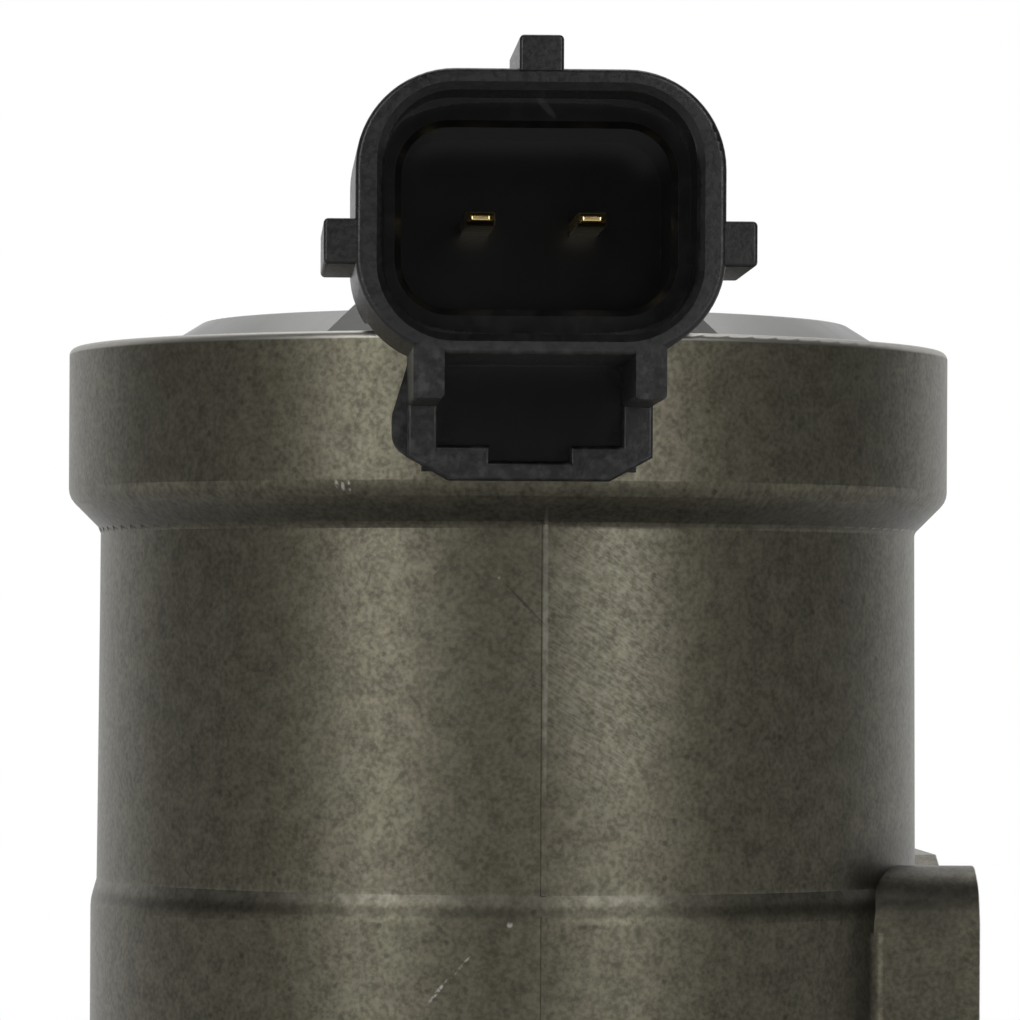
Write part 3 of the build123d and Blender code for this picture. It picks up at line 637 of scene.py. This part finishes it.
def standIn(piece, name, node, body="housing"):
    # the piece takes the node's place and finish
    piece.name = name
    piece.data.name = name
    piece.data.materials.clear()
    piece.data.materials.append(finishes[slotOf[node]])
    if body:
        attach(piece, body)
    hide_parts(node)
    bpy.ops.object.select_all(action="DESELECT")


blade = {
    "sheet": 0.00072,
    "coin": [(0.00045, (0.92, 0.72)), (0.00030, (0.66, 0.5))],  # length, then width and thickness left
    "edge": 0.00009,
    "segments": 2,
}


def makeTerminal(name, node):
    low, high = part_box(node)
    sheet = blade["sheet"]
    front = low.y + sum(length for length, left in blade["coin"])
    x, z = (low.x + high.x) / 2, high.z - sheet / 2
    bpy.ops.object.select_all(action="DESELECT")
    bpy.ops.mesh.primitive_cube_add(size=1.0, location=(x, (front + high.y) / 2, z))
    piece = bpy.context.object
    piece.scale = (high.x - low.x, high.y - front, sheet)
    bpy.ops.object.transform_apply(location=True, rotation=True, scale=True)
    bpy.ops.object.mode_set(mode="EDIT")
    bpy.ops.mesh.select_all(action="SELECT")
    bpy.ops.mesh.bisect(plane_co=(0.0, high.y - sheet, 0.0), plane_no=(0.0, 1.0, 0.0))
    selectFaces(piece, lambda normal, middle: normal.z < -facing and middle.y > high.y - sheet)
    drop = low.z + sheet - high.z
    bpy.ops.mesh.extrude_region_move(TRANSFORM_OT_translate={"value": (0.0, 0.0, drop)})
    selectFaces(piece, lambda normal, middle: normal.y < -facing and middle.y < front + sheet)
    tip = front
    for length, (width, thickness) in blade["coin"]:
        bpy.ops.mesh.extrude_region_move(TRANSFORM_OT_translate={"value": (0.0, -length, 0.0)})
        tip -= length
        bpy.ops.transform.resize(value=(width, 1.0, thickness), center_override=(x, tip, z))
    bpy.ops.object.mode_set(mode="OBJECT")
    roundEdges(piece, blade["edge"], blade["segments"])
    standIn(piece, name, node)


softened = {  # node: name of the piece, edge width, segments and the angle that counts as an edge
    "flange_seal": ("sealBead", 0.00055, 4, 60.0),
    "connector": ("connectorMoulding", 0.00012, 3, 25.0),
    "top_cover": ("coverPressing", 0.00030, 3, 14.0),
}


def copyNode(node):
    # a merged copy of a node's mesh
    bpy.ops.object.select_all(action="DESELECT")
    piece = bpy.data.objects.new(node, cadNodes[node].data.copy())
    bpy.context.scene.collection.objects.link(piece)
    piece.select_set(True)
    bpy.context.view_layer.objects.active = piece
    bpy.ops.mesh.customdata_custom_splitnormals_clear()
    bpy.ops.object.mode_set(mode="EDIT")
    bpy.ops.mesh.select_all(action="SELECT")
    bpy.ops.mesh.remove_doubles(threshold=mergeWithin)
    bpy.ops.object.mode_set(mode="OBJECT")
    return piece


def makeSoftened(node):
    name, width, segments, angle = softened[node]
    piece = copyNode(node)
    bpy.ops.object.mode_set(mode="EDIT")
    bpy.ops.mesh.dissolve_limited(angle_limit=math.radians(flatWithin))
    bpy.ops.object.mode_set(mode="OBJECT")
    roundEdges(piece, width, segments, angle)
    standIn(piece, name, node)


casting = {
    "outside": 0.0252,  # everything turned lies inside this radius
    "turnedWithin": 8.0,  # degrees between a turned face's normal and straight out
    "levelLeast": 0.1,  # level part of a normal under which its face counts as flat
    "rimRadius": 0.0250,
    "rimEdge": 0.00045,
    "edgeLeast": 0.4,  # agreement with the solid's normal on the rim's edge
    "slack": 0.000003,
}


def roundNormal(point, normal):
    # a normal on the turned outside points straight away from the valve axis,
    # and one on the rim's edge turns up
    outward = Vector((point.x - axisX, point.y, 0.0))
    level = Vector((normal.x, normal.y, 0.0))
    edge = casting["rimEdge"]
    past = outward.length - (casting["rimRadius"] - edge)
    above = point.z - (rimTop - edge)
    if outward.length > casting["outside"]:
        return normal
    outward.normalize()
    if past > -casting["slack"] and above > -casting["slack"]:
        turned = (outward * max(past, 0.0) + Vector((0.0, 0.0, max(above, 0.0)))).normalized()
        if turned.dot(normal) > casting["edgeLeast"]:
            return turned
    if level.length < casting["levelLeast"]:
        return normal
    if level.normalized().dot(outward) < math.cos(math.radians(casting["turnedWithin"])):
        return normal
    return outward * level.length + Vector((0.0, 0.0, normal.z))


def makeCastBody():
    # the casting keeps the solid's normals, but its turned outside gets true round ones,
    # so that the parting ridge leaves no break in its shine
    solid = cadNodes["valve_body"].data
    solidFaces = KDTree(len(solid.polygons))
    for face in solid.polygons:
        solidFaces.insert(face.center, face.index)
    solidFaces.balance()
    piece = copyNode("valve_body")
    bpy.ops.object.shade_smooth()
    mesh = piece.data
    normals = [None] * len(mesh.loops)
    for face in mesh.polygons:
        twin = solid.polygons[solidFaces.find(face.center)[1]]
        for corner in face.loop_indices:
            point = mesh.vertices[mesh.loops[corner].vertex_index].co
            gaps = [
                (solid.vertices[solid.loops[other].vertex_index].co - point).length
                for other in twin.loop_indices
            ]
            other = twin.loop_indices[gaps.index(min(gaps))]
            normals[corner] = roundNormal(point, solid.corner_normals[other].vector.copy())
    mesh.normals_split_custom_set(normals)
    standIn(piece, "castBody", "valve_body")


springs = {  # node: name of the piece, body under its lower end and body over its upper end
    "return_spring": ("returnCoil", "plunger", "housing"),
    "balance_spring": ("balanceCoil", "housing", "plunger"),
}
springSmooth = 40.0


def makeSpring(node):
    # a smooth-shaded copy of the spring takes its place, on no body
    name, lowerBody, upperBody = springs[node]
    piece = copyNode(node)
    bpy.ops.object.shade_smooth_by_angle(angle=math.radians(springSmooth))
    standIn(piece, name, node, body=None)
    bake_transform(piece)


coil = {
    "wire": 0.00055,
    "sides": 8,
    "steps": 72,
    "bore": 0.00789,
    "smooth": 50.0,
}


def spinTurn():
    # what is selected is turned once round the valve axis
    bpy.ops.mesh.spin(
        steps=coil["steps"],
        angle=2 * math.pi,
        center=(axisX, 0.0, 0.0),
        axis=(0.0, 0.0, 1.0),
    )
    bpy.ops.mesh.select_all(action="SELECT")
    bpy.ops.mesh.remove_doubles(threshold=mergeWithin)
    bpy.ops.mesh.normals_make_consistent(inside=False)


def makeCoilTurns():
    # one turn of wire is spun and repeated up the outside of a plain wound core
    low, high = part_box("coil_winding")
    wireSize = coil["wire"]
    outer = (high.x - low.x) / 2
    count = int((high.z - low.z) / wireSize)
    pitch = (high.z - low.z - wireSize) / (count - 1)
    bpy.ops.object.select_all(action="DESELECT")
    bpy.ops.mesh.primitive_circle_add(
        vertices=coil["sides"],
        radius=wireSize / 2,
        location=(axisX + outer - wireSize / 2, 0.0, low.z + wireSize / 2),
        rotation=(math.radians(90.0), 0.0, 0.0),
    )
    piece = bpy.context.object
    bpy.ops.object.transform_apply(location=True, rotation=True, scale=True)
    bpy.ops.object.mode_set(mode="EDIT")
    bpy.ops.mesh.select_all(action="SELECT")
    spinTurn()
    bpy.ops.object.mode_set(mode="OBJECT")
    bpy.ops.object.modifier_add(type="ARRAY")
    rows = piece.modifiers[-1]
    rows.count = count
    rows.use_relative_offset = False
    rows.use_constant_offset = True
    rows.constant_offset_displace = (0.0, 0.0, pitch)
    bpy.ops.object.modifier_apply(modifier=rows.name)

    coreOuter = outer - wireSize
    bpy.ops.object.select_all(action="DESELECT")
    bpy.ops.mesh.primitive_plane_add(
        size=1.0,
        location=(axisX + (coil["bore"] + coreOuter) / 2, 0.0, (low.z + high.z) / 2),
        rotation=(math.radians(90.0), 0.0, 0.0),
    )
    core = bpy.context.object
    core.scale = (coreOuter - coil["bore"], high.z - low.z, 1.0)
    bpy.ops.object.transform_apply(location=True, rotation=True, scale=True)
    bpy.ops.object.mode_set(mode="EDIT")
    bpy.ops.mesh.select_all(action="SELECT")
    bpy.ops.mesh.delete(type="ONLY_FACE")
    bpy.ops.mesh.select_all(action="SELECT")
    spinTurn()
    bpy.ops.object.mode_set(mode="OBJECT")
    piece.select_set(True)
    bpy.context.view_layer.objects.active = piece
    bpy.ops.object.join()
    bpy.ops.object.shade_smooth_by_angle(angle=math.radians(coil["smooth"]))
    standIn(piece, "coilTurns", "coil_winding")


makeTerminal("terminalBladeLeft", "terminal_left")
makeTerminal("terminalBladeRight", "terminal_right")
for softNode in softened:
    makeSoftened(softNode)
makeCastBody()
for springNode in springs:
    makeSpring(springNode)
makeCoilTurns()
print("terminals, mouldings, casting, springs and winding modelled")


# stage, light and camera

studio = {
    "floorSize": 4.0,
    "floorColour": 0.58,
    "floorLift": 0.05,  # glow of the floor beside the valve, which keeps its shadow
    "shadowReach": (0.10, 0.34),
    "room": 0.04,  # brightness of the room on the camera side
    "backdropTilt": 15.0,  # the white backdrop curves up over the valve
    "backdropEdge": (0.44, 0.62),
    "strips": {"leftStrip": (-35.0, 5.2), "rightStrip": (30.0, 4.6)},  # angle from the camera, power
    "stripSize": (0.23, 1.10),
    "stripDistance": 0.80,
    "stripHeight": 0.22,
    "topSize": (0.6, 0.6),
    "topPlace": (180.0, 0.35, 0.75),  # angle, distance and height
    "topPower": 2.0,
}
view = {
    "distance": 0.350,
    "azimuth": -2.49,
    "horizonDrop": 0.0167,  # camera level under the rim plane
    "lens": 216.4,
    "sensor": 36.0,
    "rise": 0.132,  # lens shift
    "side": 0.00017,
    "roll": -0.3,
    "nearest": 0.01,
}
axisPoint = Vector((axisX, 0.0, rimTop - view["horizonDrop"]))


def around(angle, distance, height=0.0):
    # a point round the valve axis, where 0 degrees is straight in front
    turn = math.radians(angle)
    return axisPoint + Vector((math.sin(turn) * distance, -math.cos(turn) * distance, height))


def addFloor():
    bpy.ops.mesh.primitive_plane_add(size=studio["floorSize"], location=(0.0, 0.0, footZ))
    floor = bpy.context.object
    floor.name = "floor"
    paper = bpy.data.materials.new("whitePaper")
    paper.use_nodes = True
    tree = paper.node_tree
    tree.nodes.remove(tree.nodes["Principled BSDF"])
    coords = addNode(tree, "ShaderNodeTexCoord")
    middle = addNode(tree, "ShaderNodeVectorMath", {"operation": "DISTANCE"})
    wire(tree, coords, "Object", middle, 0)
    middle.inputs[1].default_value = (axisX, 0.0, 0.0)
    far = remap(tree, middle, "Value", *studio["shadowReach"])
    lift = remap(tree, far, "Result", 0.0, 1.0, studio["floorLift"], 1.0, smooth=False)
    paths = addNode(tree, "ShaderNodeLightPath")
    seen = mathNode(tree, "MAXIMUM", (paths, "Is Camera Ray"), (paths, "Is Glossy Ray"))
    seen = mathNode(tree, "MAXIMUM", (seen, "Value"), (paths, "Is Transmission Ray"))
    strength = mathNode(tree, "MULTIPLY", (lift, "Result"), (seen, "Value"))
    glow = addNode(tree, "ShaderNodeEmission", sockets={"Color": (1.0, 1.0, 1.0, 1.0)})
    wire(tree, strength, "Value", glow, "Strength")
    shade = remap(tree, far, "Result", 0.0, 1.0, studio["floorColour"], 0.0, smooth=False)
    cloth = addNode(tree, "ShaderNodeBsdfDiffuse")
    wire(tree, shade, "Result", cloth, "Color")
    both = addNode(tree, "ShaderNodeAddShader")
    wire(tree, glow, "Emission", both, 0)
    wire(tree, cloth, "BSDF", both, 1)
    wire(tree, both, "Shader", tree.nodes["Material Output"], "Surface")
    floor.data.materials.append(paper)


def addWorld():
    # white paper behind and over the valve, a dim room in front of it; the camera sees white all round
    world = bpy.data.worlds.new("studioRoom")
    world.use_nodes = True
    tree = world.node_tree
    background = tree.nodes["Background"]
    coords = addNode(tree, "ShaderNodeTexCoord")
    tilt = math.radians(studio["backdropTilt"])
    toBackdrop = addNode(tree, "ShaderNodeVectorMath", {"operation": "DOT_PRODUCT"})
    wire(tree, coords, "Generated", toBackdrop, 0)
    toBackdrop.inputs[1].default_value = (0.0, math.cos(tilt), math.sin(tilt))
    level = remap(tree, toBackdrop, "Value", *studio["backdropEdge"], studio["room"], 1.0)
    paths = addNode(tree, "ShaderNodeLightPath")
    strength = mathNode(tree, "MAXIMUM", (level, "Result"), (paths, "Is Camera Ray"))
    background.inputs["Color"].default_value = (1.0, 1.0, 1.0, 1.0)
    wire(tree, strength, "Value", background, "Strength")
    bpy.context.scene.world = world


def addLamp(name, place, size, power):
    bpy.ops.object.light_add(type="AREA", location=place)
    lamp = bpy.context.object
    lamp.name = name
    lamp.data.shape = "RECTANGLE"
    lamp.data.size, lamp.data.size_y = size
    lamp.data.energy = power
    lamp.visible_camera = False
    lamp.rotation_euler = (axisPoint - Vector(place)).to_track_quat("-Z", "Y").to_euler()


def addCamera():
    turn = math.radians(view["azimuth"])
    place = around(view["azimuth"], view["distance"])
    place += Vector((math.cos(turn), math.sin(turn), 0.0)) * view["side"]
    tilt = (math.radians(90.0), math.radians(view["roll"]), turn)
    bpy.ops.object.camera_add(location=place, rotation=tilt)
    camera = bpy.context.object
    camera.data.lens = view["lens"]
    camera.data.sensor_width = view["sensor"]
    camera.data.shift_y = view["rise"]
    camera.data.clip_start = view["nearest"]
    bpy.context.scene.camera = camera


addFloor()
addWorld()
for stripName, (stripAngle, stripPower) in studio["strips"].items():
    stripPlace = around(view["azimuth"] + stripAngle, studio["stripDistance"], studio["stripHeight"])
    addLamp(stripName, stripPlace, studio["stripSize"], stripPower)
addLamp("topSoftbox", around(*studio["topPlace"]), studio["topSize"], studio["topPower"])
addCamera()
bpy.context.scene.view_settings.view_transform = "Standard"
print("stage, lamps and camera placed")
